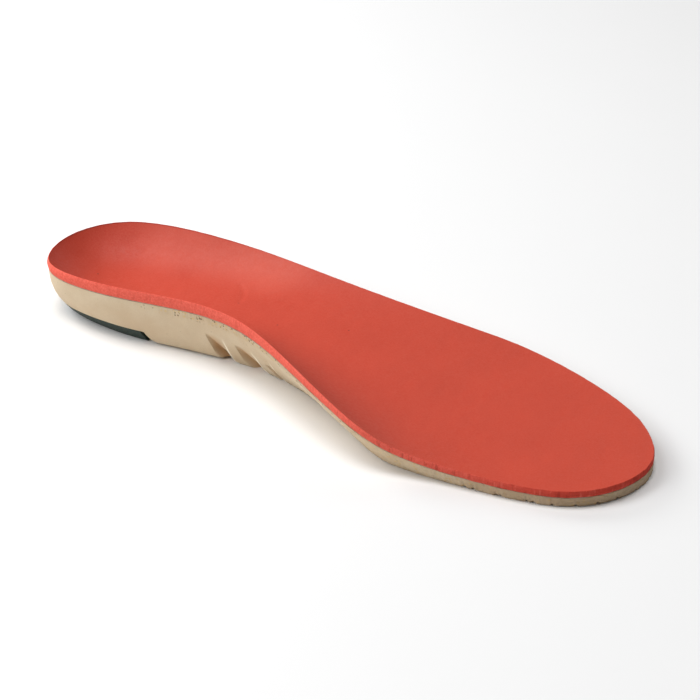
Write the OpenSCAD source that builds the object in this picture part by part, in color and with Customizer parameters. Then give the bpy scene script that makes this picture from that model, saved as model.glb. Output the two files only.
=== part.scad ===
// Cushioned insole for the left foot: a foam top cover glued to a moulded foam base,
// with a separate shock pad glued into a recess under the heel.
// Millimetres. +X points to the toes, +Y to the outer (little toe) side, +Z up.
// The origin is the middle of the footprint's box, on the surface the insole lies on.

/* [Overall size] */
// Length from the back of the heel to the tip of the toe
insole_length = 280; // [240:1:310]
// Width of the whole outline, which is widest at the ball of the foot
outline_width = 100; // [85:1:112]
// Thickness of the flat forefoot, cover and base together
forefoot_height = 6.9; // [6.3:0.1:8.5]
// How far the highest point of the arch edge stands above the forefoot's top face
rim_rise = 21.4; // [16:0.2:24]

/* [Layers] */
// Thickness of the foam top cover, square to its face
cover_thickness = 2.6; // [2:0.1:3.2]
// Thickness of the glue film between the cover and the base
glue_thickness = 0.2; // [0.1:0.05:0.3]

/* [Footbed] */
// How sharply the footbed turns up at its edge: a higher power is a flatter floor
cup_power = 3.1; // [2.2:0.1:3.4]
// How sharply the outer wall tucks under at the heel
heel_tuck_power = 2.4; // [1.4:0.1:2.8]
// How sharply the outer wall tucks under along the arch
arch_tuck_power = 1.2; // [1:0.1:2]

/* [Heel pad] */
// Thickness of the heel pad, where the base above it leaves room for it
pad_thickness = 5.1; // [3:0.1:5.5]
// Length of the heel pad, from the back of the heel
pad_length = 57; // [45:1:70]
// Gap between the pad's front edge and the end of its recess
pad_gap = 2; // [1:0.5:4]
// Length of the sloped end of the recess
recess_slope = 3; // [2:0.5:6]

/* [Arch flutes] */
// Width and depth of the flutes in the arch wall, as a part of their full size
flute_scale = 1; // [0.6:0.05:1.1]

/* [Hidden] */

// One row for each station along the foot, from the back of the heel to the toe:
// [place along the length %, outer edge %, inner edge %, outer rim rise %, inner rim rise %,
//  floor rise %, outer foot inset mm, inner foot inset mm]
// Places are in % of the length, edges in % of the width, rises in % of rim_rise.
// An inset is how far the wall's foot stands inside its rim.
STATIONS = [
    [-1, 1, 1, 74, 74, 14, 8, 8],
    [1.5, 17.5, -21, 78, 78, 14, 8.5, 9],
    [7, 27.5, -28.5, 84, 82, 14, 8.5, 9.5],
    [17, 32, -30.5, 82, 88, 15, 7, 6.5],
    [28.5, 36.5, -25.5, 63, 92, 19, 5.5, 5],
    [39.5, 36, -28.5, 47, 99, 22, 5, 11],
    [52.5, 35.5, -47, 32, 83, 17, 4.5, 20.5],
    [65.5, 35.5, -63, 18, 52, 7, 3.5, 11],
    [71, 37, -58.5, 8, 15, 2, 2, 4],
    [80, 32, -55, 2, 0, 0, 0.5, 1],
    [93, 16, -51.5, 2, 0, 0, 0, 1],
    [99, -1.5, -36.5, 0, 2, 0, 0, 1],
    [101, -17, -17, 0, 0, 0, 0, 0]
];
LAST = len(STATIONS) - 1;
SPANS = 2 * LAST;
// Points drawn on each span of the outline, and rings drawn across the footbed
SPAN_STEPS = 5;
COUNT = SPANS * SPAN_STEPS;
HALF = COUNT / 2;
RINGS = 8;
// Heights down the outer wall, as parts of the way from the rim to the ground
WALL_LEVELS = [0, 0.25, 0.5, 0.7, 0.86, 1];
// How near the middle line runs to the heel and the toe, as a part of the half length
SPINE_REACH = 0.78;
SPINE_POWER = 6;
OVERCUT = 20;

// ---- outline -------------------------------------------------------------------------------
// Each control point is [place, edge, rim rise, floor rise, foot inset].
function outer_side(row) = [row[0], row[1], row[3], row[5], row[6]];
function inner_side(row) = [row[0], row[2], row[4], row[5], row[7]];
CONTROL = concat(
    [for (k = [0:LAST]) outer_side(STATIONS[k])],
    [for (k = [LAST - 1:-1:1]) inner_side(STATIONS[k])]
);

// A point of a closed cubic B-spline over the control points
function spline_point(k, u) = (
    pow(1 - u, 3) * CONTROL[(k + SPANS - 1) % SPANS]
    + (3 * pow(u, 3) - 6 * u * u + 4) * CONTROL[k]
    + (1 + 3 * u + 3 * u * u - 3 * pow(u, 3)) * CONTROL[(k + 1) % SPANS]
    + pow(u, 3) * CONTROL[(k + 2) % SPANS]
) / 6;
RAW = [for (k = [0:SPANS - 1], s = [0:SPAN_STEPS - 1]) spline_point(k, s / SPAN_STEPS)];

function column(points, c) = [for (p = points) p[c]];
X_LOW = min(column(RAW, 0));
X_HIGH = max(column(RAW, 0));
Y_LOW = min(column(RAW, 1));
Y_HIGH = max(column(RAW, 1));
X_SCALE = insole_length / (X_HIGH - X_LOW);
Y_SCALE = outline_width / (Y_HIGH - Y_LOW);

// The outline in millimetres, in the part's own frame: [x, y, rim height, floor height, inset]
OUTLINE = [for (p = RAW) [
    (p[0] - (X_LOW + X_HIGH) / 2) * X_SCALE,
    (p[1] - (Y_LOW + Y_HIGH) / 2) * Y_SCALE,
    forefoot_height + rim_rise * p[2] / 100,
    forefoot_height + rim_rise * p[3] / 100,
    p[4]
]];

// ---- footbed -------------------------------------------------------------------------------
// The middle line that the rings close on. It follows the outline's own middle and stops
// short of the heel and the toe, where the rings turn round it.
SPINE_HALF = insole_length / 2 * SPINE_REACH;
function spine_x(x) = x / pow(1 + pow(abs(x) / SPINE_HALF, SPINE_POWER), 1 / SPINE_POWER);
OUTER_Y = [for (i = [0:HALF]) [OUTLINE[i][0], OUTLINE[i][1]]];
INNER_Y = [for (i = [0:HALF]) [OUTLINE[(COUNT - i) % COUNT][0], OUTLINE[(COUNT - i) % COUNT][1]]];
FLOOR_Z = [for (i = [0:HALF]) [OUTLINE[i][0], OUTLINE[i][3]]];
function spine_point(x) = [x, (lookup(x, OUTER_Y) + lookup(x, INNER_Y)) / 2];
SPINE = [for (p = OUTLINE) spine_point(spine_x(p[0]))];

function plan(i) = [OUTLINE[i][0], OUTLINE[i][1]];
function reach(i) = norm(plan(i) - SPINE[i]);
function along(i, r) = SPINE[i] + r * (plan(i) - SPINE[i]);
function floor_z(i) = lookup(SPINE[i][0], FLOOR_Z);
function lift(i) = OUTLINE[i][2] - floor_z(i);
function slope(i, r) = cup_power * pow(r, cup_power - 1) * lift(i) / reach(i);
function top_z(i, r) = floor_z(i) + lift(i) * pow(r, cup_power);
// A face a given depth below the footbed, measured square to the footbed
function face_z(i, r, depth) = top_z(i, r) - depth * sqrt(1 + pow(slope(i, r), 2));
function face_point(i, r, depth) = concat(along(i, r), face_z(i, r, depth));

function ring_radius(k) = sin(90 * k / RINGS);
// The points of one face: its rings from the middle outwards, then the middle line
function face_points(depth) = concat(
    [for (k = [1:RINGS], i = [0:COUNT - 1]) face_point(i, ring_radius(k), depth)],
    [for (i = [0:HALF]) face_point(i, 0, depth)]
);
FACE_SIZE = RINGS * COUNT + HALF + 1;
function face_index(k, i) = k == 0
    ? RINGS * COUNT + min(i % COUNT, COUNT - i % COUNT)
    : (k - 1) * COUNT + i % COUNT;

// Two triangles for each four-sided patch, clockwise from outside
function quad(a, b, c, d) = [[a, b, c], [a, c, d]];
function flipped(faces) = [for (f = faces) [f[2], f[1], f[0]]];
function joined(lists) = [for (list = lists, item = list) item];
FACE_UP = joined([for (k = [0:RINGS - 1], i = [0:COUNT - 1]) quad(
    face_index(k, i), face_index(k + 1, i), face_index(k + 1, i + 1), face_index(k, i + 1)
)]);
function shifted(faces, by) = [for (f = faces) [f[0] + by, f[1] + by, f[2] + by]];
function band(top, bottom) = joined([for (i = [0:COUNT - 1]) quad(
    top + i, bottom + i, bottom + (i + 1) % COUNT, top + (i + 1) % COUNT
)]);
RIM = (RINGS - 1) * COUNT;

// A sheet between two depths below the footbed
module sheet(upper, lower) {
    polyhedron(
        points = concat(face_points(upper), face_points(lower)),
        faces = concat(
            FACE_UP,
            shifted(flipped(FACE_UP), FACE_SIZE),
            band(RIM, FACE_SIZE + RIM)
        ),
        convexity = 6
    );
}

// ---- outer wall ----------------------------------------------------------------------------
BASE_DEPTH = cover_thickness + glue_thickness;
// The tuck changes smoothly from the heel's to the arch's along the first part of the foot
TUCK_CHANGE = [[-insole_length / 2, heel_tuck_power], [-insole_length / 6, arch_tuck_power]];
function tuck_power(i) = lookup(OUTLINE[i][0], TUCK_CHANGE);
function wall_point(i, v) = concat(
    along(i, 1 - OUTLINE[i][4] / reach(i) * pow(v, tuck_power(i))),
    face_z(i, 1, BASE_DEPTH) * (1 - v)
);
LEVELS = len(WALL_LEVELS) - 1;
FOOT = FACE_SIZE + (LEVELS - 1) * COUNT;
UNDERSIDE = joined([for (i = [0:HALF - 1]) [
    [FOOT + i, FOOT + (COUNT - i) % COUNT, FOOT + i + 1],
    [FOOT + (COUNT - i) % COUNT, FOOT + (COUNT - i - 1) % COUNT, FOOT + i + 1]
]]);

// Everything below the glue film, before the recess and the flutes are taken away
module underbody() {
    polyhedron(
        points = concat(
            face_points(BASE_DEPTH),
            [for (k = [1:LEVELS], i = [0:COUNT - 1]) wall_point(i, WALL_LEVELS[k])]
        ),
        faces = concat(
            FACE_UP,
            band(RIM, FACE_SIZE),
            joined([for (k = [1:LEVELS - 1])
                band(FACE_SIZE + (k - 1) * COUNT, FACE_SIZE + k * COUNT)]),
            [for (f = UNDERSIDE) if (f[0] != f[1] && f[1] != f[2] && f[0] != f[2]) f]
        ),
        convexity = 6
    );
}

// ---- heel pad and its recess ---------------------------------------------------------------
HEEL_BACK = -insole_length / 2;
PAD_FRONT = HEEL_BACK + pad_length;
RECESS_FRONT = PAD_FRONT + pad_gap;
// The base is never thinner than this above the recess
BASE_LEAST = 1.2;
HEEL_ROOM = lookup(HEEL_BACK, FLOOR_Z) - BASE_DEPTH - BASE_LEAST - glue_thickness;
PAD_HEIGHT = min(pad_thickness, HEEL_ROOM);
RECESS_HEIGHT = PAD_HEIGHT + glue_thickness;

// A profile drawn in X and Z, as wide as the insole and more
module across(points) {
    translate([0, outline_width, 0])
        rotate([90, 0, 0])
            linear_extrude(height = 2 * outline_width)
                polygon(points);
}

module recess() {
    across([
        [HEEL_BACK - OVERCUT, -OVERCUT],
        [RECESS_FRONT + recess_slope, -OVERCUT],
        [RECESS_FRONT + recess_slope, 0],
        [RECESS_FRONT, RECESS_HEIGHT],
        [HEEL_BACK - OVERCUT, RECESS_HEIGHT]
    ]);
}

module heel_slab(low, high) {
    intersection() {
        underbody();
        across([
            [HEEL_BACK - OVERCUT, low],
            [PAD_FRONT, low],
            [PAD_FRONT, high],
            [HEEL_BACK - OVERCUT, high]
        ]);
    }
}

// ---- arch flutes ---------------------------------------------------------------------------
// One row for each flute: [place of its foot along the length %, its top as a % of the wall's
// height there, half its width at the ground, its depth at the ground]
FLUTES = [
    [35, 64, 5.3, 4.2],
    [40, 60, 4.8, 3.6],
    [45, 52, 2.6, 1.6]
];
// A flute leans back towards the heel as it rises
FLUTE_LEAN = 0.3;
FLUTE_HEIGHTS = [-0.15, 0, 0.25, 0.5, 0.7, 0.85, 0.95, 1];
FLUTE_ARC_STEPS = 10;
FLUTE_CLEARANCE = 6;
FLUTE_LEAST = 0.02;

function place_x(percent) = insole_length * (percent / 100 - 0.5);
INNER_STATIONS = [for (i = [COUNT:-1:HALF + 1]) i % COUNT];
function wall_top(x) = lookup(x, [for (i = INNER_STATIONS)
    [OUTLINE[i][0], face_z(i, 1, BASE_DEPTH)]]);
function wall_y(x, z) = lookup(x, [for (i = INNER_STATIONS)
    let (down = max(0, 1 - max(0, z) / face_z(i, 1, BASE_DEPTH)), p = wall_point(i, down))
    [p[0], p[1]]]);
function unit(v) = v / norm(v);
// The wall's direction along the foot at a place and a height
function wall_way(x, z) = unit([2, wall_y(x + 1, z) - wall_y(x - 1, z)]);

// One level section of a flute: an arc cut into the wall, closed outside it. q runs from 0 at
// the ground to 1 at the flute's top, where its width and depth fade out.
function flute_section(row, q) =
    let (
        height = q * row[1] / 100 * wall_top(place_x(row[0])),
        x = place_x(row[0]) - FLUTE_LEAN * height,
        way = wall_way(x, height),
        inward = [-way[1], way[0]],
        low = max(0, q),
        half = max(FLUTE_LEAST, flute_scale * row[2] * (1 - 0.15 * low) * pow(1 - pow(low, 3), 0.25)),
        deep = max(FLUTE_LEAST / 2, flute_scale * row[3] * (1 - low)),
        middle = [x, wall_y(x, height)],
        radius = (half * half + deep * deep) / (2 * deep),
        sweep = half >= deep ? asin(half / radius) : 180 - asin(half / radius)
    )
    concat(
        [for (k = [0:FLUTE_ARC_STEPS])
            let (turn = sweep * (2 * k / FLUTE_ARC_STEPS - 1))
            concat(middle + way * radius * sin(turn)
                + inward * (radius * cos(turn) - radius + deep), height)],
        [concat(middle + way * half - inward * FLUTE_CLEARANCE, height)],
        [concat(middle - way * half - inward * FLUTE_CLEARANCE, height)]
    );
SECTION_SIZE = FLUTE_ARC_STEPS + 3;

module flute(row) {
    sections = len(FLUTE_HEIGHTS);
    last = (sections - 1) * SECTION_SIZE;
    polyhedron(
        points = joined([for (q = FLUTE_HEIGHTS) flute_section(row, q)]),
        faces = concat(
            [[for (k = [SECTION_SIZE - 1:-1:0]) k]],
            [[for (k = [0:SECTION_SIZE - 1]) last + k]],
            joined([for (s = [0:sections - 2], k = [0:SECTION_SIZE - 1])
                let (a = s * SECTION_SIZE + k, b = s * SECTION_SIZE + (k + 1) % SECTION_SIZE)
                quad(a, b, b + SECTION_SIZE, a + SECTION_SIZE)])
        )
    );
}

// ---- sub-parts -----------------------------------------------------------------------------
module top_cover() {
    color([0.82, 0.33, 0.26]) sheet(0, cover_thickness);
}

module cover_adhesive() {
    color([0.62, 0.58, 0.55]) sheet(cover_thickness, BASE_DEPTH);
}

module base() {
    color([0.80, 0.70, 0.58]) difference() {
        underbody();
        recess();
        for (row = FLUTES) flute(row);
    }
}

module heel_pad() {
    color([0.16, 0.22, 0.18]) heel_slab(-OVERCUT, PAD_HEIGHT);
}

module heel_pad_adhesive() {
    color([0.62, 0.58, 0.55]) heel_slab(PAD_HEIGHT, RECESS_HEIGHT);
}

top_cover();
cover_adhesive();
base();
heel_pad();
heel_pad_adhesive();
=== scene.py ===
"""Looks of the cushioned insole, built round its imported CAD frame.

The design rules are those of the CAD model, drawn finely: an outline of stations along the foot,
a footbed dished up to the rim, and a wall that tucks in towards the ground. Lengths inside the
design functions are millimetres, and every mesh is turned into metres when it is made.
"""
import math

import bmesh
import bpy
import numpy as np
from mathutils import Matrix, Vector
from mathutils.geometry import delaunay_2d_cdt
from mathutils.kdtree import KDTree


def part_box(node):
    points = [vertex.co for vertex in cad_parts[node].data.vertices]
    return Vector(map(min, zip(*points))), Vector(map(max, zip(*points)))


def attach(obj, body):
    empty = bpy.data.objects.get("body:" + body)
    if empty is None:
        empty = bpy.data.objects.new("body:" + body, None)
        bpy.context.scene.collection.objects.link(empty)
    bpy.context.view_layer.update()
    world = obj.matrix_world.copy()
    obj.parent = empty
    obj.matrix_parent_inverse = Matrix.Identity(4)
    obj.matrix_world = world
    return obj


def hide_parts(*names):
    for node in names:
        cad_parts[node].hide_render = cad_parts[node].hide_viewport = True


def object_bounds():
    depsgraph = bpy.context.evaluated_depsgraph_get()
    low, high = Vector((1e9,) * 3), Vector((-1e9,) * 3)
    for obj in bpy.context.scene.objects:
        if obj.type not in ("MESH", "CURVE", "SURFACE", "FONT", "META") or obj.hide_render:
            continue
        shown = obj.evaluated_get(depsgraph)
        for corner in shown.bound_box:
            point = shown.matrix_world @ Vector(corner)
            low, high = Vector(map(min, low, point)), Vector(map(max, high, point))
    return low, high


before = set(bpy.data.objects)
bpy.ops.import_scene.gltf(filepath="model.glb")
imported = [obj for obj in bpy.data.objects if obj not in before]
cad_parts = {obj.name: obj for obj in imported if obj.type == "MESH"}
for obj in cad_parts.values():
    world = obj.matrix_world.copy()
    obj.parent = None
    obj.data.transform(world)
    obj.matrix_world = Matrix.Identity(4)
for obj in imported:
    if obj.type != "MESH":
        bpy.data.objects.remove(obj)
CAD_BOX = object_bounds()

MM = 0.001
INSOLE_LENGTH = (CAD_BOX[1].x - CAD_BOX[0].x) / MM
OUTLINE_WIDTH = (CAD_BOX[1].y - CAD_BOX[0].y) / MM
FOREFOOT_HEIGHT = 6.9
RIM_RISE = 21.4
COVER_THICKNESS = 2.6
GLUE_THICKNESS = 0.2
BASE_DEPTH = COVER_THICKNESS + GLUE_THICKNESS
CUP_POWER = 3.1
HEEL_TUCK_POWER = 2.4
ARCH_TUCK_POWER = 1.2
PAD_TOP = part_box("heel_pad")[1].z / MM
PAD_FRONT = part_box("heel_pad")[1].x / MM
RECESS_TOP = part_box("heel_pad_adhesive")[1].z / MM
HEEL_BACK = -INSOLE_LENGTH / 2

# [place along the length %, outer edge %, inner edge %, outer rim rise %, inner rim rise %,
#  floor rise %, outer foot inset mm, inner foot inset mm], from the back of the heel to the toe
STATIONS = [
    [-1, 1, 1, 74, 74, 14, 8, 8],
    [1.5, 17.5, -21, 78, 78, 14, 8.5, 9],
    [7, 27.5, -28.5, 84, 82, 14, 8.5, 9.5],
    [17, 32, -30.5, 82, 88, 15, 7, 6.5],
    [28.5, 36.5, -25.5, 63, 92, 19, 5.5, 5],
    [39.5, 36, -28.5, 47, 99, 22, 5, 11],
    [52.5, 35.5, -47, 32, 83, 17, 4.5, 20.5],
    [65.5, 35.5, -63, 18, 52, 7, 3.5, 11],
    [71, 37, -58.5, 8, 15, 2, 2, 4],
    [80, 32, -55, 2, 0, 0, 0.5, 1],
    [93, 16, -51.5, 2, 0, 0, 0, 1],
    [99, -1.5, -36.5, 0, 2, 0, 0, 1],
    [101, -17, -17, 0, 0, 0, 0, 0],
]
SPANS = 2 * (len(STATIONS) - 1)
CAD_SPAN_STEPS = 5
TABLE_STEPS = 60
SPINE_REACH = 0.78
SPINE_POWER = 6

# How finely the pieces are drawn, and how far out the last ring inside the rim lies
SPAN_STEPS = 32
COVER_RINGS = 52
HIDDEN_RINGS = 12
LAST_RING = 0.99
BASE_LAST_RING = 0.985


# ---- the design functions --------------------------------------------------------------------
def control_points():
    """One [place, edge, rim rise, floor rise, foot inset] for each station and side."""
    outer = [[s[0], s[1], s[3], s[5], s[6]] for s in STATIONS]
    inner = [[s[0], s[2], s[4], s[5], s[7]] for s in STATIONS[-2:0:-1]]
    return np.array(outer + inner, float)


CONTROL = control_points()


def spline(t):
    """Points of a closed cubic B-spline; t runs once round the outline from 0 to SPANS."""
    k = np.floor(t).astype(int)
    u = (t - k)[..., None]
    before, here, after, beyond = (CONTROL[(k + d) % SPANS] for d in (-1, 0, 1, 2))
    return (
        (1 - u) ** 3 * before
        + (3 * u**3 - 6 * u**2 + 4) * here
        + (1 + 3 * u + 3 * u**2 - 3 * u**3) * after
        + u**3 * beyond
    ) / 6


COARSE = spline(np.arange(SPANS * CAD_SPAN_STEPS) / CAD_SPAN_STEPS)
MIDDLE = (COARSE[:, :2].min(0) + COARSE[:, :2].max(0)) / 2
SCALE = np.array([INSOLE_LENGTH, OUTLINE_WIDTH]) / np.ptp(COARSE[:, :2], axis=0)


def outline(t):
    """The outline in millimetres: plan position, rim height, floor height and foot inset."""
    p = spline(t)
    plan = (p[..., :2] - MIDDLE) * SCALE
    rim = FOREFOOT_HEIGHT + RIM_RISE * p[..., 2] / 100
    floor = FOREFOOT_HEIGHT + RIM_RISE * p[..., 3] / 100
    return plan, rim, floor, p[..., 4]


# Evenly spaced places round the outline
EVEN_T = np.arange(SPANS * SPAN_STEPS) / SPAN_STEPS
# Both sides of the foot as tables of y, floor height and place round the outline against x
OUTER_T = np.linspace(0, SPANS / 2, SPANS // 2 * TABLE_STEPS + 1)
INNER_T = np.linspace(SPANS, SPANS / 2, SPANS // 2 * TABLE_STEPS + 1)
OUTER_PLAN, _, OUTER_FLOOR, _ = outline(OUTER_T)
INNER_PLAN = outline(INNER_T)[0]


def inner_place(x):
    """The place round the outline, on the inner side, of a distance along the foot."""
    return np.interp(x, INNER_PLAN[:, 0], INNER_T)


class Columns:
    """The footbed's measures at some places round the outline, one for each entry of t."""

    def __init__(self, t):
        self.t = np.asarray(t, float)
        self.plan, self.rim, _, self.inset = outline(self.t)
        half = INSOLE_LENGTH / 2 * SPINE_REACH
        x = self.plan[..., 0]
        spine_x = x / (1 + (np.abs(x) / half) ** SPINE_POWER) ** (1 / SPINE_POWER)
        spine_y = (
            np.interp(spine_x, OUTER_PLAN[:, 0], OUTER_PLAN[:, 1])
            + np.interp(spine_x, INNER_PLAN[:, 0], INNER_PLAN[:, 1])
        ) / 2
        self.spine = np.stack([spine_x, spine_y], -1)
        self.reach = np.linalg.norm(self.plan - self.spine, axis=-1)
        self.floor = np.interp(spine_x, OUTER_PLAN[:, 0], OUTER_FLOOR)
        self.lift = self.rim - self.floor
        step = 0.01
        ahead = outline(self.t + step)[0] - outline(self.t - step)[0]
        ahead /= np.linalg.norm(ahead, axis=-1)[..., None]
        self.outward = np.stack([-ahead[..., 1], ahead[..., 0]], -1)

    def along(self, r):
        """Plan points a part r of the way from the middle line to the rim."""
        return self.spine + np.asarray(r)[..., None] * (self.plan - self.spine)

    def height(self, r, depth):
        """A face a given depth below the footbed, measured square to the footbed."""
        slope = CUP_POWER * np.power(r, CUP_POWER - 1) * self.lift / self.reach
        top = self.floor + self.lift * np.power(r, CUP_POWER)
        return top - depth * np.sqrt(1 + slope**2)

    def rim_height(self, depth):
        return self.height(np.ones_like(self.reach), depth)

    def tuck_power(self):
        """How sharply the wall tucks under: more at the heel than along the arch."""
        return np.interp(
            self.plan[..., 0],
            [-INSOLE_LENGTH / 2, -INSOLE_LENGTH / 6],
            [HEEL_TUCK_POWER, ARCH_TUCK_POWER],
        )


def smooth(a, b, x):
    """0 before a, 1 after b, and a smooth step between them."""
    u = np.clip((x - a) / (b - a), 0, 1)
    return u * u * (3 - 2 * u)


def waves(points, length, seed):
    """A smooth random field of about unit size, made of waves of about one length each way."""
    count = 24
    rng = np.random.default_rng(seed)
    ways = rng.normal(size=(count, points.shape[-1]))
    ways *= (2 * math.pi / length * rng.uniform(0.6, 1.4, count) / np.linalg.norm(ways, axis=1))[:, None]
    phases = rng.uniform(0, 2 * math.pi, count)
    return np.sin(points @ ways.T + phases).sum(-1) * math.sqrt(2 / count)


# ---- mesh helpers ----------------------------------------------------------------------------
class Shape:
    """A mesh in the making: points in millimetres, faces and a material number for each face."""

    def __init__(self):
        self.points = []
        self.faces = []
        self.kinds = []
        self.size = 0

    def add(self, points):
        """Adds points and gives back their numbers in the same arrangement."""
        points = np.asarray(points, float)
        numbers = np.arange(points[..., 0].size).reshape(points.shape[:-1]) + self.size
        self.points.append(points.reshape(-1, 3))
        self.size += numbers.size
        return numbers

    def strip(self, rows, kind=0):
        """Quads between neighbouring closed rows of numbers."""
        rows = np.asarray(rows)
        rows = np.concatenate([rows, rows[:, :1]], 1)
        a, b, c, d = rows[:-1, :-1], rows[1:, :-1], rows[1:, 1:], rows[:-1, 1:]
        quads = np.stack([a, b, c, d], -1).reshape(-1, 4).tolist()
        self.faces += quads
        self.kinds += [kind] * len(quads)

    def face(self, numbers):
        self.faces.append([int(n) for n in numbers])
        self.kinds.append(0)

    def build(self, name, materials, crease=40):
        """The finished object, in metres, smooth but for edges sharper than the crease."""
        mesh = bpy.data.meshes.new(name)
        points = np.concatenate(self.points) * MM
        mesh.from_pydata(points.tolist(), [], self.faces)
        for material in materials:
            mesh.materials.append(material)
        mesh.polygons.foreach_set("material_index", self.kinds)
        ob = bpy.data.objects.new(name, mesh)
        bpy.context.scene.collection.objects.link(ob)
        finish_mesh(ob, crease)
        return ob


def finish_mesh(ob, crease):
    """Merges doubled points, turns the faces outwards and shades the mesh."""
    bm = bmesh.new()
    bm.from_mesh(ob.data)
    bmesh.ops.remove_doubles(bm, verts=bm.verts, dist=1e-7)
    bmesh.ops.dissolve_degenerate(bm, edges=bm.edges, dist=1e-8)
    bmesh.ops.recalc_face_normals(bm, faces=bm.faces)
    bm.to_mesh(ob.data)
    bm.free()
    ob.data.polygons.foreach_set("use_smooth", [True] * len(ob.data.polygons))
    ob.data.set_sharp_from_angle(angle=math.radians(crease))
    ob.data.update()


def with_height(plan, z):
    """Plan points with a height added: one for all of them, or one for each."""
    return np.concatenate([plan, np.broadcast_to(z, plan.shape[:-1])[..., None]], -1)


def face_rings(shape, columns, depth, rings, last, relief=None):
    """The rings of one face from the middle line outwards, as rows of numbers."""
    rows = []
    for radius in np.sin(np.linspace(0, math.pi / 2, rings + 1)) * last:
        r = np.full(len(columns.t), radius)
        points = with_height(columns.along(r), columns.height(r, depth))
        if relief is not None:
            points[:, 2] += relief(points, r)
        rows.append(shape.add(points))
    return rows


# ---- materials -------------------------------------------------------------------------------
def linear(red, green, blue):
    """An sRGB colour of 0 to 255 as Blender's linear colour."""
    def one(v):
        v /= 255
        return v / 12.92 if v <= 0.04045 else ((v + 0.055) / 1.055) ** 2.4
    return (one(red), one(green), one(blue), 1)


class Painter:
    """Writes one procedural material, in the object's own coordinates in metres."""

    def __init__(self, name, roughness, specular):
        self.material = bpy.data.materials.new(name)
        self.material.use_nodes = True
        self.tree = self.material.node_tree
        self.shader = self.tree.nodes["Principled BSDF"]
        self.shader.inputs["Roughness"].default_value = roughness
        self.shader.inputs["Specular IOR Level"].default_value = specular
        self.place = self.node("ShaderNodeTexCoord").outputs["Object"]

    def node(self, kind, **settings):
        n = self.tree.nodes.new(kind)
        for key, value in settings.items():
            setattr(n, key, value)
        return n

    def plug(self, socket, value):
        """Links a socket to a node's output, or sets it to a plain value."""
        if isinstance(value, bpy.types.NodeSocket):
            self.tree.links.new(value, socket)
        else:
            socket.default_value = value

    def math(self, operation, a, b):
        n = self.node("ShaderNodeMath", operation=operation)
        for socket, value in zip(n.inputs, (a, b)):
            self.plug(socket, value)
        return n.outputs[0]

    def upright(self, squeeze):
        """Coordinates in which noise is drawn out into upright streaks."""
        n = self.node("ShaderNodeMapping")
        self.plug(n.inputs["Vector"], self.place)
        n.inputs["Scale"].default_value = (1, 1, squeeze)
        return n.outputs[0]

    def noise(self, size_mm, detail, roughness=0.55, vector=None):
        """Cloudy noise from 0 to 1 whose blobs are about size_mm across."""
        n = self.node("ShaderNodeTexNoise")
        self.plug(n.inputs["Vector"], vector or self.place)
        n.inputs["Scale"].default_value = 0.5 / (size_mm * MM)
        n.inputs["Detail"].default_value = detail
        n.inputs["Roughness"].default_value = roughness
        return n.outputs["Fac"]

    def cells(self, size_mm):
        """Distance to the nearest of random points about size_mm apart, where that is 1."""
        n = self.node("ShaderNodeTexVoronoi")
        self.plug(n.inputs["Vector"], self.place)
        n.inputs["Scale"].default_value = 1 / (size_mm * MM)
        return n.outputs["Distance"]

    def span(self, value, low, high, to_low=0.0, to_high=1.0):
        """A smooth step from to_low to to_high, as the value goes from low to high."""
        n = self.node("ShaderNodeMapRange", interpolation_type="SMOOTHSTEP")
        for socket, v in zip(n.inputs, (value, low, high, to_low, to_high)):
            self.plug(socket, v)
        return n.outputs[0]

    def mix(self, factor, a, b):
        n = self.node("ShaderNodeMix", data_type="RGBA")
        self.plug(n.inputs["Factor"], factor)
        self.plug(n.inputs[6], a)
        self.plug(n.inputs[7], b)
        return n.outputs[2]

    def layer(self, colour, mask, strength, new):
        """The new colour laid over the old one where a mask is 1, as strong as asked."""
        return self.mix(self.math("MULTIPLY", mask, strength), colour, new)

    def along_foot(self, low_mm, high_mm, to_low, to_high):
        """A smooth step along the foot."""
        n = self.node("ShaderNodeSeparateXYZ")
        self.plug(n.inputs[0], self.place)
        return self.span(n.outputs["X"], low_mm * MM, high_mm * MM, to_low, to_high)

    def mark(self, name):
        """A value that the mesh carries at each point."""
        return self.node("ShaderNodeAttribute", attribute_name=name).outputs["Fac"]

    def ball(self, centre_mm, radius_mm, core, strength=1.0):
        """The strength inside a ball's core, a part of its radius, and 0 outside the ball."""
        n = self.node("ShaderNodeVectorMath", operation="DISTANCE")
        self.plug(n.inputs[0], self.place)
        n.inputs[1].default_value = [v * MM for v in centre_mm]
        radius = radius_mm * MM
        return self.span(n.outputs["Value"], radius, core * radius, 0.0, strength)

    def spots(self, points_mm, radius_mm):
        """1 inside any of some round spots, 0 outside them."""
        total = 0.0
        for point in points_mm:
            total = self.math("MAXIMUM", total, self.ball(point, radius_mm, 0.4))
        return total

    def bump(self, height, depth_mm, normal=None):
        n = self.node("ShaderNodeBump")
        n.inputs["Strength"].default_value = 1
        n.inputs["Distance"].default_value = depth_mm * MM
        self.plug(n.inputs["Height"], height)
        if normal is not None:
            self.plug(n.inputs["Normal"], normal)
        return n.outputs[0]

    def finish(self, colour, roughness=None, normal=None):
        self.plug(self.shader.inputs["Base Color"], colour)
        if roughness is not None:
            self.plug(self.shader.inputs["Roughness"], roughness)
        if normal is not None:
            self.plug(self.shader.inputs["Normal"], normal)
        return self.material


# Small dark specks in the cover's skin, in millimetres
COVER_SPECKS = [
    (-121.4, 10.5, 11.4),
    (-55.1, 19, 11.1),
    (-30.5, 10.4, 11.4),
    (-3.4, 21.9, 11),
    (62, 30, 7.2),
]
# Where a painted sheen lightens the skin on the side of the cup, as if it caught the lamps: centre and
# radius
PAINTED_SHEEN = [((-102, 37, 27), 24), ((-78, 43, 25), 24), ((-54, 44, 22), 24)]


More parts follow.
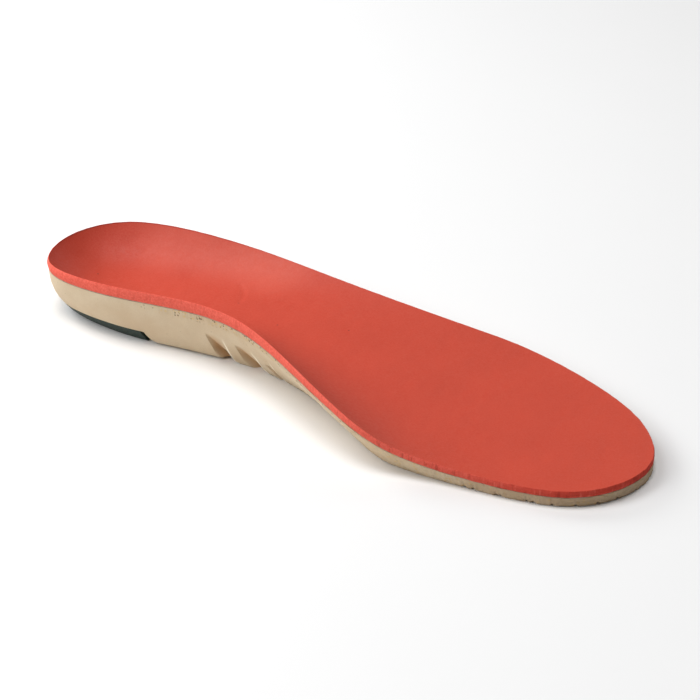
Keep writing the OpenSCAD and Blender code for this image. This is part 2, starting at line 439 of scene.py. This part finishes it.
def cover_skin():
    """The coral foam's smooth moulded skin: matte, with a fine grain, and a painted sheen on the side of
    the cup.
    """
    p = Painter("cover_skin", roughness=0.5, specular=0.34)
    coral = linear(198, 65, 44)
    deep = linear(188, 59, 39)
    clouds = p.noise(14, detail=3)
    colour = p.mix(p.span(clouds, 0.3, 0.7, 0.0, 0.35), coral, deep)
    # Painted sheen: lighter patches where the side of the cup would catch the lamps
    for centre, radius in PAINTED_SHEEN:
        colour = p.mix(p.ball(centre, radius, 0.3, strength=0.28), colour, linear(232, 112, 92))
    grain = p.noise(0.35, detail=3, roughness=0.7)
    colour = p.mix(p.span(grain, 0.25, 0.75), colour, p.mix(0.12, colour, linear(232, 140, 116)))
    dark = p.span(p.cells(0.9), 0.10, 0.02, 0.0, 0.35)
    colour = p.mix(dark, colour, linear(140, 42, 29))
    colour = p.layer(colour, p.spots(COVER_SPECKS, 0.5), 0.7, linear(96, 44, 34))
    rough = p.span(p.noise(0.8, detail=2), 0.3, 0.7, 0.52, 0.64)
    fine = p.bump(grain, 0.018)
    coarse = p.bump(p.noise(2.2, detail=2), 0.02, normal=fine)
    return p.finish(colour, rough, coarse)


def cover_cut():
    """The coral foam where it's cut: paler, rough, with open cells and short upright cuts."""
    p = Painter("cover_cut", roughness=0.9, specular=0.12)
    pale = linear(242, 115, 98)
    deep = linear(214, 80, 64)
    cells = p.noise(0.45, detail=3, roughness=0.75)
    colour = p.mix(p.span(cells, 0.3, 0.7, 0.25, 0.85), deep, pale)
    # Painted shade: the cut edge darkens towards the toe, where it faces away from the lamps
    toe_shade = p.along_foot(40, 130, 0.0, 0.8)
    colour = p.mix(toe_shade, colour, linear(186, 56, 42))
    upright = p.noise(0.6, detail=3, vector=p.upright(0.12))
    forefoot = p.along_foot(0, 80, 0.12, 0.5)
    colour = p.layer(colour, p.span(upright, 0.55, 0.72), forefoot, linear(232, 118, 100))
    colour = p.layer(colour, p.span(upright, 0.46, 0.34), forefoot, linear(146, 40, 30))
    pits = p.span(p.cells(0.55), 0.22, 0.05)
    colour = p.layer(colour, pits, 0.5, linear(158, 48, 39))
    height = p.math("SUBTRACT", cells, p.math("MULTIPLY", pits, 0.5))
    fine = p.bump(height, 0.05)
    return p.finish(colour, None, p.bump(upright, 0.03, normal=fine))


def glue():
    """Dried glue: a dull grey-brown film."""
    p = Painter("glue", roughness=0.5, specular=0.4)
    patches = p.noise(1.5, detail=3)
    colour = p.mix(p.span(patches, 0.3, 0.7), linear(186, 160, 140), linear(150, 122, 106))
    return p.finish(colour, None, p.bump(patches, 0.05))


# The largest open pores along the base's trimmed edge, in millimetres
BASE_PORES = [(-12.9, -25.4, 20.4), (-6.6, -28.9, 20.9), (-0.9, -30, 17.7)]


def base_foam():
    """The beige moulded foam: a smooth skin low on the wall, open pores where it is trimmed."""
    p = Painter("beige_foam", roughness=0.62, specular=0.22)
    trim = p.mark("trimmed")
    beige = linear(217, 199, 170)
    warm = linear(207, 184, 152)
    clouds = p.noise(9, detail=3)
    colour = p.mix(p.span(clouds, 0.3, 0.7), beige, warm)
    grain = p.noise(0.3, detail=3, roughness=0.7)
    colour = p.mix(p.span(grain, 0.3, 0.7, 0.0, 0.25), colour, linear(192, 168, 136))
    yellow = p.math("MULTIPLY", trim, p.span(p.cells(2.2), 0.4, 0.12))
    colour = p.layer(colour, yellow, 0.6, linear(216, 180, 112))
    pores = p.span(p.cells(1.3), 0.42, 0.28)
    gate = p.span(p.noise(1.6, detail=1), 0.52, 0.58)
    pores = p.math("MULTIPLY", p.math("MULTIPLY", pores, gate), trim)
    pores = p.math("MULTIPLY", pores, p.along_foot(20, 50, 1.0, 0.2))
    few = p.span(p.cells(3.1), 0.075, 0.045)
    pores = p.math("MAXIMUM", pores, p.math("MULTIPLY", few, 0.5))
    pores = p.math("MAXIMUM", pores, p.spots(BASE_PORES, 0.6))
    colour = p.layer(colour, pores, 0.85, linear(98, 72, 48))
    streaks = p.noise(0.6, detail=2, vector=p.upright(0.1))
    streaks = p.math("MULTIPLY", trim, p.span(streaks, 0.35, 0.7))
    colour = p.layer(colour, streaks, 0.25, linear(180, 150, 114))
    # Painted shade: the trimmed wall darkens towards the toe, where it faces away from the lamps
    forefoot = p.math("MULTIPLY", trim, p.along_foot(50, 120, 0.0, 0.55))
    colour = p.mix(forefoot, colour, linear(160, 132, 104))
    # Painted shade in the flutes' hollows, warm as from light bounced between their walls
    colour = p.layer(colour, p.mark("hollow_shade"), 0.7, linear(198, 152, 104))
    # Painted highlight along the flutes' sharp crests, where the edge would catch the light
    colour = p.layer(colour, p.mark("crest"), 0.95, linear(255, 248, 228))
    rough = p.span(trim, 0.0, 1.0, 0.58, 0.85)
    height = p.math("SUBTRACT", p.math("MULTIPLY", grain, 0.2), pores)
    fine = p.bump(height, 0.09)
    return p.finish(colour, rough, p.bump(streaks, 0.05, normal=fine))


def pad_rubber():
    """The heel pad's dark green soft rubber foam."""
    p = Painter("pad_rubber", roughness=0.6, specular=0.4)
    grain = p.noise(0.5, detail=3, roughness=0.7)
    colour = p.mix(p.span(grain, 0.3, 0.7), linear(36, 48, 42), linear(52, 66, 58))
    dust = p.span(p.cells(1.1), 0.12, 0.04, 0.0, 0.3)
    colour = p.mix(dust, colour, linear(84, 95, 87))
    return p.finish(colour, None, p.bump(grain, 0.05))


def floor_paper():
    """The pale studio floor."""
    p = Painter("floor_paper", roughness=0.9, specular=0.1)
    tone = p.noise(40, detail=2)
    return p.finish(p.mix(tone, (0.90, 0.90, 0.90, 1), (0.91, 0.91, 0.91, 1)))


# ---- the top cover ---------------------------------------------------------------------------
# The cut edge: the radius of its top and bottom corners, and how far its middle bulges at the
# heel and, as a part of that, from the arch on
EDGE_RADIUS = 0.3
UNDER_RADIUS = 0.12
EDGE_BULGE = 0.45
EDGE_ROWS = 7
CORNER_TURNS = np.radians([0, 30, 60, 90])
FOREFOOT_BULGE = 0.55
BULGE_FADE = (-120, -20)
# How far the knife wandered, and how rough the cut is, as [size, length of a wave]
KNIFE_WANDER = (0.04, 5)
CUT_ROUGHNESS = (0.02, 1.6)
# A faint curved crease in the skin and a dimple near the toe: place in plan, depth and width
CREASE = [(-63.2, 32.2), (-58.5, 28.5), (-56.1, 24), (-55.1, 19.4)]
CREASE_DEPTH, CREASE_WIDTH = 0.24, 0.8
DIMPLE = (121.1, -2.6)
DIMPLE_DEPTH, DIMPLE_WIDTH = 0.12, 1.6


def crease_relief(points):
    """A shallow groove along the crease, and the dimple near the toe."""
    bends = np.array(CREASE, float)
    nearest = np.full(len(points), np.inf)
    for a, b in zip(bends[:-1], bends[1:]):
        way = b - a
        u = np.clip(((points[:, :2] - a) @ way) / (way @ way), 0, 1)
        nearest = np.minimum(nearest, np.linalg.norm(points[:, :2] - a - u[:, None] * way, axis=1))
    groove = CREASE_DEPTH * np.exp(-((nearest / CREASE_WIDTH) ** 2))
    from_dimple = np.linalg.norm(points[:, :2] - DIMPLE, axis=1)
    return -groove - DIMPLE_DEPTH * np.exp(-((from_dimple / DIMPLE_WIDTH) ** 2))


def skin_relief(points, r):
    """The gentle unevenness of moulded foam, dying out at the rim."""
    fade = 1 - smooth(0.9, 1.0, r)
    uneven = 0.05 * waves(points[:, :2], 26, seed=3) + 0.02 * waves(points[:, :2], 9, seed=4)
    return fade * (uneven + crease_relief(points))


def edge_section(columns):
    """The cut edge as rows of (height, how far out): rounded corners and a bulging side."""
    top = columns.rim_height(0)
    bottom = columns.rim_height(COVER_THICKNESS)
    section = []
    for turn in CORNER_TURNS:
        section.append((top - EDGE_RADIUS * (1 - np.cos(turn)), -EDGE_RADIUS * (1 - math.sin(turn))))
    for w in np.linspace(0, 1, EDGE_ROWS + 2)[1:-1]:
        z = top - EDGE_RADIUS + w * (bottom + UNDER_RADIUS - top + EDGE_RADIUS)
        section.append((z, EDGE_BULGE * math.sin(math.pi * w)))
    for turn in CORNER_TURNS[::-1]:
        z = bottom + UNDER_RADIUS * (1 - np.cos(turn))
        section.append((z, -UNDER_RADIUS * (1 - math.sin(turn))))
    return section


def make_top_cover(skin, cut):
    columns = Columns(EVEN_T)
    shape = Shape()
    rows = face_rings(shape, columns, 0, COVER_RINGS, LAST_RING, relief=skin_relief)
    shape.strip(rows)
    wander = KNIFE_WANDER[0] * waves(columns.plan, KNIFE_WANDER[1], seed=8)
    fade = smooth(*BULGE_FADE, columns.plan[:, 0])
    bulge = FOREFOOT_BULGE + (1 - FOREFOOT_BULGE) * (1 - fade)
    section = edge_section(columns)
    edge_rows = [rows[-1]]
    for k, (z, out) in enumerate(section):
        cut_here = 0 < k < len(section) - 1
        plan = columns.plan + columns.outward * (out * bulge + wander * cut_here)[:, None]
        rough = waves(with_height(plan, z), CUT_ROUGHNESS[1], seed=11)
        plan = plan + columns.outward * (CUT_ROUGHNESS[0] * rough)[:, None] * cut_here
        edge_rows.append(shape.add(with_height(plan, z)))
    shape.strip(edge_rows[:2])
    shape.strip(edge_rows[1:], kind=1)
    under = face_rings(shape, columns, COVER_THICKNESS, HIDDEN_RINGS, LAST_RING)
    shape.strip([edge_rows[-1]] + under[::-1], kind=1)
    return shape.build("cover_of_foam", [skin, cut])


# ---- the glue film ---------------------------------------------------------------------------
# How far the film's edge stands back from the cover's, and how much that changes
GLUE_INSET = 0.07
GLUE_WANDER = 0.05


def make_cover_glue(material):
    columns = Columns(EVEN_T)
    shape = Shape()
    upper = face_rings(shape, columns, COVER_THICKNESS, HIDDEN_RINGS, LAST_RING)
    lower = face_rings(shape, columns, BASE_DEPTH, HIDDEN_RINGS, LAST_RING)
    inset = GLUE_INSET + GLUE_WANDER * waves(columns.plan, 7, seed=21)
    plan = columns.plan - columns.outward * inset[:, None]
    rim = [shape.add(with_height(plan, columns.rim_height(d))) for d in (COVER_THICKNESS, BASE_DEPTH)]
    shape.strip(upper + rim + lower[::-1])
    return shape.build("glue_film", [material])


# ---- the base --------------------------------------------------------------------------------
# The flutes, in millimetres: the left edge and the crest as [height, place along the foot], the
# height where the flute runs out and how far it's cut in at the ground
FLUTES = [
    {
        "left": [(0, -45.6), (0.7, -46.8), (3.4, -47.7), (6.9, -48.5), (9.9, -49.4), (12.6, -50.2)],
        "crest": [(0, -36.4), (1.9, -39.4), (4.6, -40.5), (7.4, -40.9), (11.6, -41.7)],
        "top": 13.4,
        "depth": 5.0,
    },
    {
        "left": [(0, -32.2), (0.8, -33.5), (3.1, -34.3), (6.4, -34.8), (8.8, -35.3), (11.2, -35.9)],
        "crest": [(0, -22), (1.5, -23.9), (3.2, -24.8), (8.8, -25.2), (11.2, -26.5)],
        "top": 12.2,
        "depth": 4.4,
    },
    {
        "left": [(0, -16.4), (1, -17.1), (2.9, -18.4), (4.2, -19.3), (5.7, -20.2), (7.9, -20.9)],
        "crest": [(0, -12.5), (2.7, -13.2), (4.8, -14.4), (7.6, -15.6)],
        "top": 8.8,
        "depth": 3.2,
    },
]
# The stretch along the foot that holds the flutes, and how far apart its columns are
FLUTE_ZONE = (-66, 0)
FLUTE_STEP = 0.3
WALL_ROWS = 34
BASE_CREASE = 16
# The lower edge of the wall, as [height, inset] steps below the wall: a small round corner, and
# the lip between the heel and the flutes, where the edge stands a little off the ground
CORNER = [(0.21, 0.02), (0.13, 0.08), (0.05, 0.17), (0.02, 0.24), (0, 0.3)]
LIP = [(1.2, 0.08), (1.08, 0.35), (0.95, 1.8), (0.4, 4.6), (0, 6)]
LIP_OUT = 0.9
LIP_HEIGHT = 1.35
LIP_FROM, LIP_FULL = PAD_FRONT + 1, PAD_FRONT + 6
LIP_UNTIL, LIP_END = -46, -33
# The crossed grooves under the forefoot. Each is drawn from three lines: its edges and its
# middle, given here in groove widths.
GROOVE_SIDES = (-0.5, 0, 0.5)
GROOVES_EACH_WAY = 20
GROOVE_PITCH = 8.1
GROOVE_WIDTH = 1.5
GROOVE_DEPTH = 0.9
GROOVE_START = 80
GROOVE_FADE = 4
GROOVE_OFFSETS = {1: 7.2, -1: 0.0}
# How far off a groove's line its column may be, and how far the lines drawn across the foot
# end before the wall
ON_LINE = 0.02
WALL_CLEARANCE = 1.5
# The wall's grain where it is moulded and, on top of that, where it is trimmed, the length of
# the grain's waves, and the wall's long waves as [size, length]
MOULDED_GRAIN = 0.012
TRIMMED_GRAIN = 0.05
GRAIN_LENGTH = 1.8
WALL_WAVES = (0.05, 14)


def lip(x):
    """1 where the inner wall's lower edge stands off the ground, 0 elsewhere."""
    return smooth(LIP_FROM, LIP_FULL, x) * (1 - smooth(LIP_UNTIL, LIP_END, x))


def inner_side(t):
    """True for places on the inner, arch side of the foot."""
    return (t > SPANS / 2) & (t < SPANS)


def wall_sheet(columns, rows, flutes=True):
    """The wall from rim to foot as an array of points, one row for each step down.

    The columns are moved along the foot so that some follow the flutes' edges. A column's
    height changes with its place, so each place is found in two rounds."""
    inner = inner_side(columns.t)
    x0 = columns.plan[:, 0]
    steps = [(w, None) for w in np.linspace(0, 1, rows)]
    steps += [(1, edge) for edge in zip(CORNER, LIP)]
    sheet = []
    for w, edge in steps:
        t = columns.t
        for _ in range(2):
            c = Columns(t)
            lifted = lip(c.plan[:, 0]) * inner
            corner = CORNER[-1][1] * (1 - lifted) + LIP_HEIGHT * lifted
            top = c.rim_height(BASE_DEPTH)
            z = top + w * (corner - top)
            if edge:
                z = edge[0][0] * (1 - lifted) + edge[1][0] * lifted
            if not flutes:
                break
            t = np.where(inner, warped(x0, z), columns.t)
        inset = (c.inset - LIP_OUT * lifted) * (1 - z / top) ** c.tuck_power()
        if edge:
            inset = inset + edge[0][1] * (1 - lifted) + edge[1][1] * lifted
        plan = c.plan + (c.spine - c.plan) * (inset / c.reach)[:, None]
        if flutes:
            plan = plan - c.outward * (flute_depth(x0, z) * inner)[:, None]
        sheet.append(with_height(plan, z))
    return np.array(sheet)


def warped(x0, z):
    """Columns moved along the foot so that some of them lie on the flutes' edges."""
    return inner_place(np.array([np.interp(x, WARP_FROM, warp_to(height)) for x, height in zip(x0, z)]))


def warp_to(z):
    """Places along the foot, at one height, that keep still or lie on a flute's edge."""
    places = [-1e3, FLUTE_ZONE[0]]
    for flute in FLUTES:
        for edge in ("left", "crest"):
            places.append(float(np.interp(z, *zip(*flute[edge]))))
    return places + [FLUTE_ZONE[1], 1e3]


# The columns are laid out as at this height, half way up the flutes
WARP_FROM = warp_to(6)


def flute_depth(x0, z):
    """How far the wall is cut in, at the columns' own places and heights.

    High up a flute is a sharp step and a long ramp back to its crest. Towards the ground it
    widens to a scoop with a soft start, a flat back and a steep side below the crest. Places
    across a flute run from 0 at its left edge to 1 at its crest."""
    depth = np.zeros_like(x0)
    low = 1 - smooth(0.5, 7, z)
    start = 0.06 * low
    full = 0.10 + 0.46 * low
    back = 0.12 + 0.72 * low
    for k, flute in enumerate(FLUTES):
        left, crest = WARP_FROM[2 + 2 * k], WARP_FROM[3 + 2 * k]
        u = (x0 - left) / (crest - left)
        v = np.clip((u - start) / (full - start), 0, 1)
        rise = (1 - low) * v**0.7 + low * v * v * (3 - 2 * v)
        fall = np.clip((1 - u) / (1 - back), 0, 1)
        upper = np.clip(1 - z / flute["top"], 0, 1) ** 0.8
        depth += flute["depth"] * upper * np.minimum(rise, fall)
    return depth


def groove_lines():
    """The crossed lines as (sign, offset): x + sign * y = sqrt(2) * offset."""
    lines = []
    for sign, offset in GROOVE_OFFSETS.items():
        for k in range(-GROOVES_EACH_WAY, GROOVES_EACH_WAY):
            lines.append((sign, offset + k * GROOVE_PITCH))
    return lines


def groove_height(plan):
    """How far the underside is cut up into the base at some points."""
    height = np.zeros(len(plan))
    for sign, offset in groove_lines():
        off = np.abs((plan[:, 0] + sign * plan[:, 1]) / math.sqrt(2) - offset)
        height = np.maximum(height, GROOVE_DEPTH * np.clip(1 - off / (GROOVE_WIDTH / 2), 0, 1))
    start = np.clip((plan[:, 0] - GROOVE_START) / GROOVE_FADE, 0, 1)
    return height * start


def flute_zone(columns):
    """True for columns among the flutes."""
    x = columns.plan[:, 0]
    return inner_side(columns.t) & (x > FLUTE_ZONE[0]) & (x < FLUTE_ZONE[1])


def base_columns():
    """Places round the outline for the base: finer along the flutes, exact at groove ends, and
    the same on both sides of the foot, so that the two sides meet along the middle line."""
    fine = inner_place(np.arange(*FLUTE_ZONE, FLUTE_STEP))
    edges = inner_place(np.array(WARP_FROM[1:-1]))
    side = np.concatenate([EVEN_T[~flute_zone(Columns(EVEN_T))], fine, edges, groove_ends(EVEN_T)])
    return np.unique(np.round(np.concatenate([side, SPANS - side]) % SPANS, 6))


def groove_ends(t):
    """Where the grooves' edges and middles cross the foot of the wall."""
    t = np.append(t, SPANS)
    foot = wall_sheet(Columns(t[:-1]), 3, flutes=False)[-1, :, :2]
    foot = np.vstack([foot, foot[:1]])
    found = []
    for sign, offset in groove_lines():
        for side in GROOVE_SIDES:
            off = (foot[:, 0] + sign * foot[:, 1]) / math.sqrt(2) - offset - side * GROOVE_WIDTH
            for i in np.nonzero(off[:-1] * off[1:] < 0)[0]:
                if foot[i, 0] > GROOVE_START - GROOVE_WIDTH:
                    u = off[i] / (off[i] - off[i + 1])
                    found.append(t[i] + u * (t[i + 1] - t[i]))
    return np.array(found)


def underside(foot):
    """Points and triangles over the foot's outline, with the grooves' lines among their edges.

    On its outline a groove's line starts and ends at the column found for it. A line with only
    one end there starts where the grooves do."""
    points = [Vector(p) for p in foot]
    count = len(points)
    edges = []
    for sign, offset in groove_lines():
        for side in GROOVE_SIDES:
            value = (offset + side * GROOVE_WIDTH) * math.sqrt(2)
            off = foot[:, 0] + sign * foot[:, 1] - value
            hits = [i for i in np.nonzero(np.abs(off) < ON_LINE)[0] if foot[i, 0] > GROOVE_START]
            if not hits:
                continue
            hits = sorted(hits, key=lambda i: foot[i, 0])
            ends = [points[hits[0]], points[hits[-1]]]
            if len(hits) == 1:
                x = GROOVE_START
                ends[0] = Vector((x, sign * (value - x)))
            if (ends[0] - ends[1]).length > 1:
                points += [ends[0], ends[1]]
                edges.append((len(points) - 2, len(points) - 1))
    for x in (GROOVE_START, GROOVE_START + GROOVE_FADE):
        crossing = [i for i in range(count) if (foot[i, 0] - x) * (foot[(i + 1) % count, 0] - x) < 0]
        ys = sorted(foot[i, 1] for i in crossing)
        points += [Vector((x, ys[0] + WALL_CLEARANCE)), Vector((x, ys[-1] - WALL_CLEARANCE))]
        edges.append((len(points) - 2, len(points) - 1))
    ring = [list(range(count))]
    out = delaunay_2d_cdt(points, edges, ring, 1, 1e-3)
    return np.array([tuple(v) for v in out[0]]), out[2]


def trimmed(x, below_rim, inner):
    """How much of the foam's skin is trimmed away: all of it in the forefoot, and a narrow
    stretch under the cover along the arch."""
    forefoot = smooth(20, 62, x)
    band = smooth(-90, -60, x) * (1 - smooth(2.0, 4.2, below_rim)) * inner
    return np.maximum(forefoot, band)


def make_base(material):
    columns = Columns(base_columns())
    shape = Shape()
    top = face_rings(shape, columns, BASE_DEPTH, HIDDEN_RINGS, BASE_LAST_RING)
    sheet = wall_sheet(columns, WALL_ROWS)
    rim_z = sheet[0, :, 2].copy()
    grooved = groove_height(sheet[-1, :, :2])
    sheet[:, :, 2] = grooved + sheet[:, :, 2] * (1 - grooved / rim_z)
    for row in sheet[1:-1]:
        grain = MOULDED_GRAIN + TRIMMED_GRAIN * smooth(10, 60, row[:, 0])
        bumps = grain * waves(row, GRAIN_LENGTH, seed=31)
        bumps = bumps + WALL_WAVES[0] * waves(row, WALL_WAVES[1], seed=32)
        row[:, :2] += columns.outward * bumps[:, None]
    rows = [shape.add(row) for row in sheet]
    shape.strip(top + rows)
    foot = sheet[-1]
    flat, triangles = underside(foot[:, :2])
    numbers = shape.add(with_height(flat, groove_height(flat)))
    for tri in triangles:
        shape.face(numbers[list(tri)])
    ob = shape.build("base_of_foam", [material], BASE_CREASE)
    cut_recess(ob)
    mark_flutes(ob, columns, sheet)
    mark_trimmed(ob)
    return ob


# The recess's front end in side view: how far forward of the pad, and how high
RECESS_END = [(2, RECESS_TOP), (2.5, 4.2), (3.4, 3.1), (4.8, 2.2), (6.8, 1.5), (9, 0.9), (11, -1)]


def cut_recess(ob):
    """Takes the heel pad's recess out of the base."""
    back, under, half_width = HEEL_BACK - 20, -8, 90
    profile = [(back, under), (back, RECESS_TOP)]
    profile += [(PAD_FRONT + x, z) for x, z in RECESS_END] + [(PAD_FRONT + RECESS_END[-1][0], under)]
    shape = Shape()
    sides = [shape.add([(x, y, z) for x, z in profile]) for y in (-half_width, half_width)]
    shape.strip(sides)
    for side in sides:
        shape.face(side)
    cutter = shape.build("recess_cutter", [])
    cut = ob.modifiers.new("recess", "BOOLEAN")
    cut.operation = "DIFFERENCE"
    cut.solver = "EXACT"
    cut.object = cutter
    bpy.context.view_layer.update()
    ready = ob.evaluated_get(bpy.context.evaluated_depsgraph_get())
    mesh = bpy.data.meshes.new_from_object(ready)
    ob.modifiers.clear()
    old, ob.data = ob.data, mesh
    bpy.data.meshes.remove(old)
    bpy.data.objects.remove(cutter)
    mesh.name = ob.name
    finish_mesh(ob, BASE_CREASE)


# Half the width of a crest's painted highlight, the height over which it fades out, the depth at which
# a hollow's painted shade is full, and how close a mesh point is to the wall's point that it came from
CREST_WIDTH = 0.45
CREST_FADE = 5
HOLLOW_DEPTH = 2.5
SAME_POINT = 0.1


def mark_flutes(ob, columns, sheet):
    """Writes the painted shade of the flutes' hollows and the painted highlight on their sharp crests,
    for the material to read.
    """
    x, inner = columns.plan[:, 0], inner_side(columns.t)
    crests = [np.argmin(np.abs(x - place) + 1e3 * ~inner) for place in WARP_FROM[3:-2:2]]
    hollow_shade = np.array([flute_depth(x, row[:, 2]) for row in sheet]) * inner
    zone = np.nonzero(flute_zone(columns))[0]
    near = KDTree(len(zone) * len(sheet))
    values = []
    for k in range(len(sheet)):
        for c in zone:
            near.insert(sheet[k, c] * MM, len(values))
            away = np.min(np.abs(x[crests] - x[c]))
            values.append((hollow_shade[k, c], math.exp(-((away / CREST_WIDTH) ** 2))))
    near.balance()
    top = max(flute["top"] for flute in FLUTES) * MM
    found = np.zeros((len(ob.data.vertices), 2))
    for vertex in ob.data.vertices:
        _, k, distance = near.find(vertex.co)
        if distance < SAME_POINT * MM and vertex.co.z < top:
            fade = min(1, (top - vertex.co.z) / (CREST_FADE * MM))
            found[vertex.index] = min(1, values[k][0] / HOLLOW_DEPTH), fade * values[k][1]
    for name, column in zip(("hollow_shade", "crest"), found.T):
        layer = ob.data.attributes.new(name, "FLOAT", "POINT")
        layer.data.foreach_set("value", column)


def mark_trimmed(ob):
    """Writes how trimmed each point is, for the material to read."""
    co = np.zeros(len(ob.data.vertices) * 3)
    ob.data.vertices.foreach_get("co", co)
    co = co.reshape(-1, 3) / MM
    rim = Columns(INNER_T)
    rim_x = rim.plan[:, 0]
    rim_top = rim.rim_height(BASE_DEPTH)
    inner = co[:, 1] < np.interp(co[:, 0], rim_x, rim.spine[:, 1])
    below = np.interp(co[:, 0], rim_x, rim_top) - co[:, 2]
    layer = ob.data.attributes.new("trimmed", "FLOAT", "POINT")
    layer.data.foreach_set("value", trimmed(co[:, 0], below, inner))


# ---- the heel pad and its glue ---------------------------------------------------------------
# How finely a slab under the heel is drawn: along the wall, and round the finished ring
WALL_POINTS = 1152
RING_POINTS = 420
# How far the pad's foot reaches forward of its top
PAD_SLANT = 2.5
# How far the pad's glue film stands back from the pad's edge
PAD_GLUE_INSET = 0.7


def heel_ring(z, inset, front):
    """The outline of the heel's wall at one height, closed by a straight front."""
    t = np.linspace(-SPANS / 2 + 0.5, SPANS / 2 - 0.5, WALL_POINTS) % SPANS
    c = Columns(t)
    down = np.clip(1 - z / c.rim_height(BASE_DEPTH), 0, 1)
    tucked = c.inset * down ** c.tuck_power() + inset
    plan = c.plan + (c.spine - c.plan) * (tucked / c.reach)[:, None]
    plan = plan[plan[:, 0] < front - inset]
    ends = [[front - inset, plan[-1, 1]], [front - inset, plan[0, 1]]]
    ring = np.vstack([plan, ends, plan[:1]])
    steps = np.linalg.norm(np.diff(ring, axis=0), axis=1)
    length = np.concatenate([[0], np.cumsum(steps)])
    even = np.linspace(0, length[-1], RING_POINTS + 1)[:-1]
    return np.stack([np.interp(even, length, ring[:, k]) for k in (0, 1)], -1)


def make_heel_slab(name, material, rows):
    """A slab under the heel from a list of (height, inset, front), lowest first."""
    shape = Shape()
    rings = [shape.add(with_height(heel_ring(*row), row[0])) for row in rows]
    shape.strip(rings)
    shape.face(rings[0])
    shape.face(rings[-1])
    return shape.build(name, [material])


def make_heel_pad(material):
    """The pad, its side drawn as (height, inset) with round corners and a plain middle."""
    profile = [(0, 0.45), (0.12, 0.16), (0.4, 0)]
    profile += [(z, 0) for z in np.linspace(0.9, PAD_TOP - 0.5, 7)]
    profile += [(PAD_TOP - 0.2, 0.04), (PAD_TOP - 0.05, 0.15), (PAD_TOP, 0.35)]
    rows = [(z, inset, PAD_FRONT + PAD_SLANT * (1 - z / PAD_TOP)) for z, inset in profile]
    return make_heel_slab("pad_of_rubber", material, rows)


def make_pad_glue(material):
    rows = [(z, PAD_GLUE_INSET, PAD_FRONT) for z in (PAD_TOP, RECESS_TOP)]
    return make_heel_slab("pad_glue_film", material, rows)


# ---- stage -----------------------------------------------------------------------------------
CAMERA_AZIMUTH = math.radians(30.26)
CAMERA_ELEVATION = math.radians(29.35)
CAMERA_FIELD = math.radians(19.916)
CAMERA_DISTANCE = 0.8045
CAMERA_AIM = Vector((0.00262, 0.01255, 0.008))
SOFTBOX_DISTANCE = 1.2
SOFTBOX_SIZE = 0.56
CEILING_WIDTH = math.radians(30)


def direction(azimuth, elevation):
    """From the object towards a viewer; azimuth 0 is in front, on the inner side."""
    return Vector((
        math.sin(azimuth) * math.cos(elevation),
        -math.cos(azimuth) * math.cos(elevation),
        math.sin(elevation),
    ))


def make_camera():
    data = bpy.data.cameras.new("camera")
    data.sensor_width = 36
    data.lens = data.sensor_width / 2 / math.tan(CAMERA_FIELD / 2)
    camera = bpy.data.objects.new("camera", data)
    back = direction(CAMERA_AZIMUTH, CAMERA_ELEVATION)
    camera.location = CAMERA_AIM + back * CAMERA_DISTANCE
    camera.rotation_euler = (-back).to_track_quat("-Z", "Y").to_euler()
    bpy.context.scene.collection.objects.link(camera)
    bpy.context.scene.camera = camera


def add_light(data, azimuth, elevation, distance=0.0):
    light = bpy.data.objects.new(data.name, data)
    back = direction(math.radians(azimuth), math.radians(elevation))
    light.location = back * distance
    light.rotation_euler = (-back).to_track_quat("-Z", "Y").to_euler()
    bpy.context.scene.collection.objects.link(light)


def make_softbox(name, azimuth, elevation, power):
    """A round softbox near the object."""
    data = bpy.data.lights.new(name, "AREA")
    data.shape = "DISK"
    data.size = SOFTBOX_SIZE
    data.energy = power
    add_light(data, azimuth, elevation, SOFTBOX_DISTANCE)


def make_ceiling(name, azimuth, elevation, strength):
    """A wide, far light that reaches the whole floor evenly."""
    data = bpy.data.lights.new(name, "SUN")
    data.angle = CEILING_WIDTH
    data.energy = strength
    add_light(data, azimuth, elevation)


def make_floor(material):
    far, drop = 9000, -0.02
    shape = Shape()
    shape.face(shape.add([(-far, -far, drop), (far, -far, drop), (far, far, drop), (-far, far, drop)]))
    floor = shape.build("floor", [material])


def make_world(strength, backdrop):
    """A faint even light, and a plain grey backdrop above the floor that only the camera sees."""
    world = bpy.data.worlds.new("studio")
    world.use_nodes = True
    tree = world.node_tree
    light = tree.nodes["Background"]
    light.inputs["Color"].default_value = (1, 1, 1, 1)
    light.inputs["Strength"].default_value = strength
    seen = tree.nodes.new("ShaderNodeBackground")
    seen.inputs["Color"].default_value = (1, 1, 1, 1)
    seen.inputs["Strength"].default_value = backdrop
    choice = tree.nodes.new("ShaderNodeMixShader")
    rays = tree.nodes.new("ShaderNodeLightPath")
    tree.links.new(rays.outputs["Is Camera Ray"], choice.inputs[0])
    tree.links.new(light.outputs[0], choice.inputs[1])
    tree.links.new(seen.outputs[0], choice.inputs[2])
    tree.links.new(choice.outputs[0], tree.nodes["World Output"].inputs["Surface"])
    bpy.context.scene.world = world


# ---- the scene -------------------------------------------------------------------------------
def place(piece, node, slot, fill=None):
    """Puts a piece in its CAD node's place; the fill is not used."""
    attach(piece, "root")
    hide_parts(node)


glue_material = glue()
place(make_top_cover(cover_skin(), cover_cut()), "top_cover", "cover_foam", fill=1)
place(make_cover_glue(glue_material), "cover_adhesive", "adhesive")
place(make_base(base_foam()), "base", "base_foam", fill=1)
place(make_heel_pad(pad_rubber()), "heel_pad", "heel_pad_rubber", fill=1)
place(make_pad_glue(glue_material), "heel_pad_adhesive", "adhesive")

make_camera()
make_floor(floor_paper())
make_world(strength=0.045, backdrop=0.5)
make_ceiling("top", azimuth=0, elevation=89, strength=1.4)
make_ceiling("back", azimuth=180, elevation=25, strength=0.3)
make_softbox("high", azimuth=-62, elevation=60, power=4.1)
make_softbox("left", azimuth=-100, elevation=25, power=6.2)
make_softbox("front", azimuth=-42, elevation=33, power=5.2)
bpy.context.scene.view_settings.view_transform = "Standard"
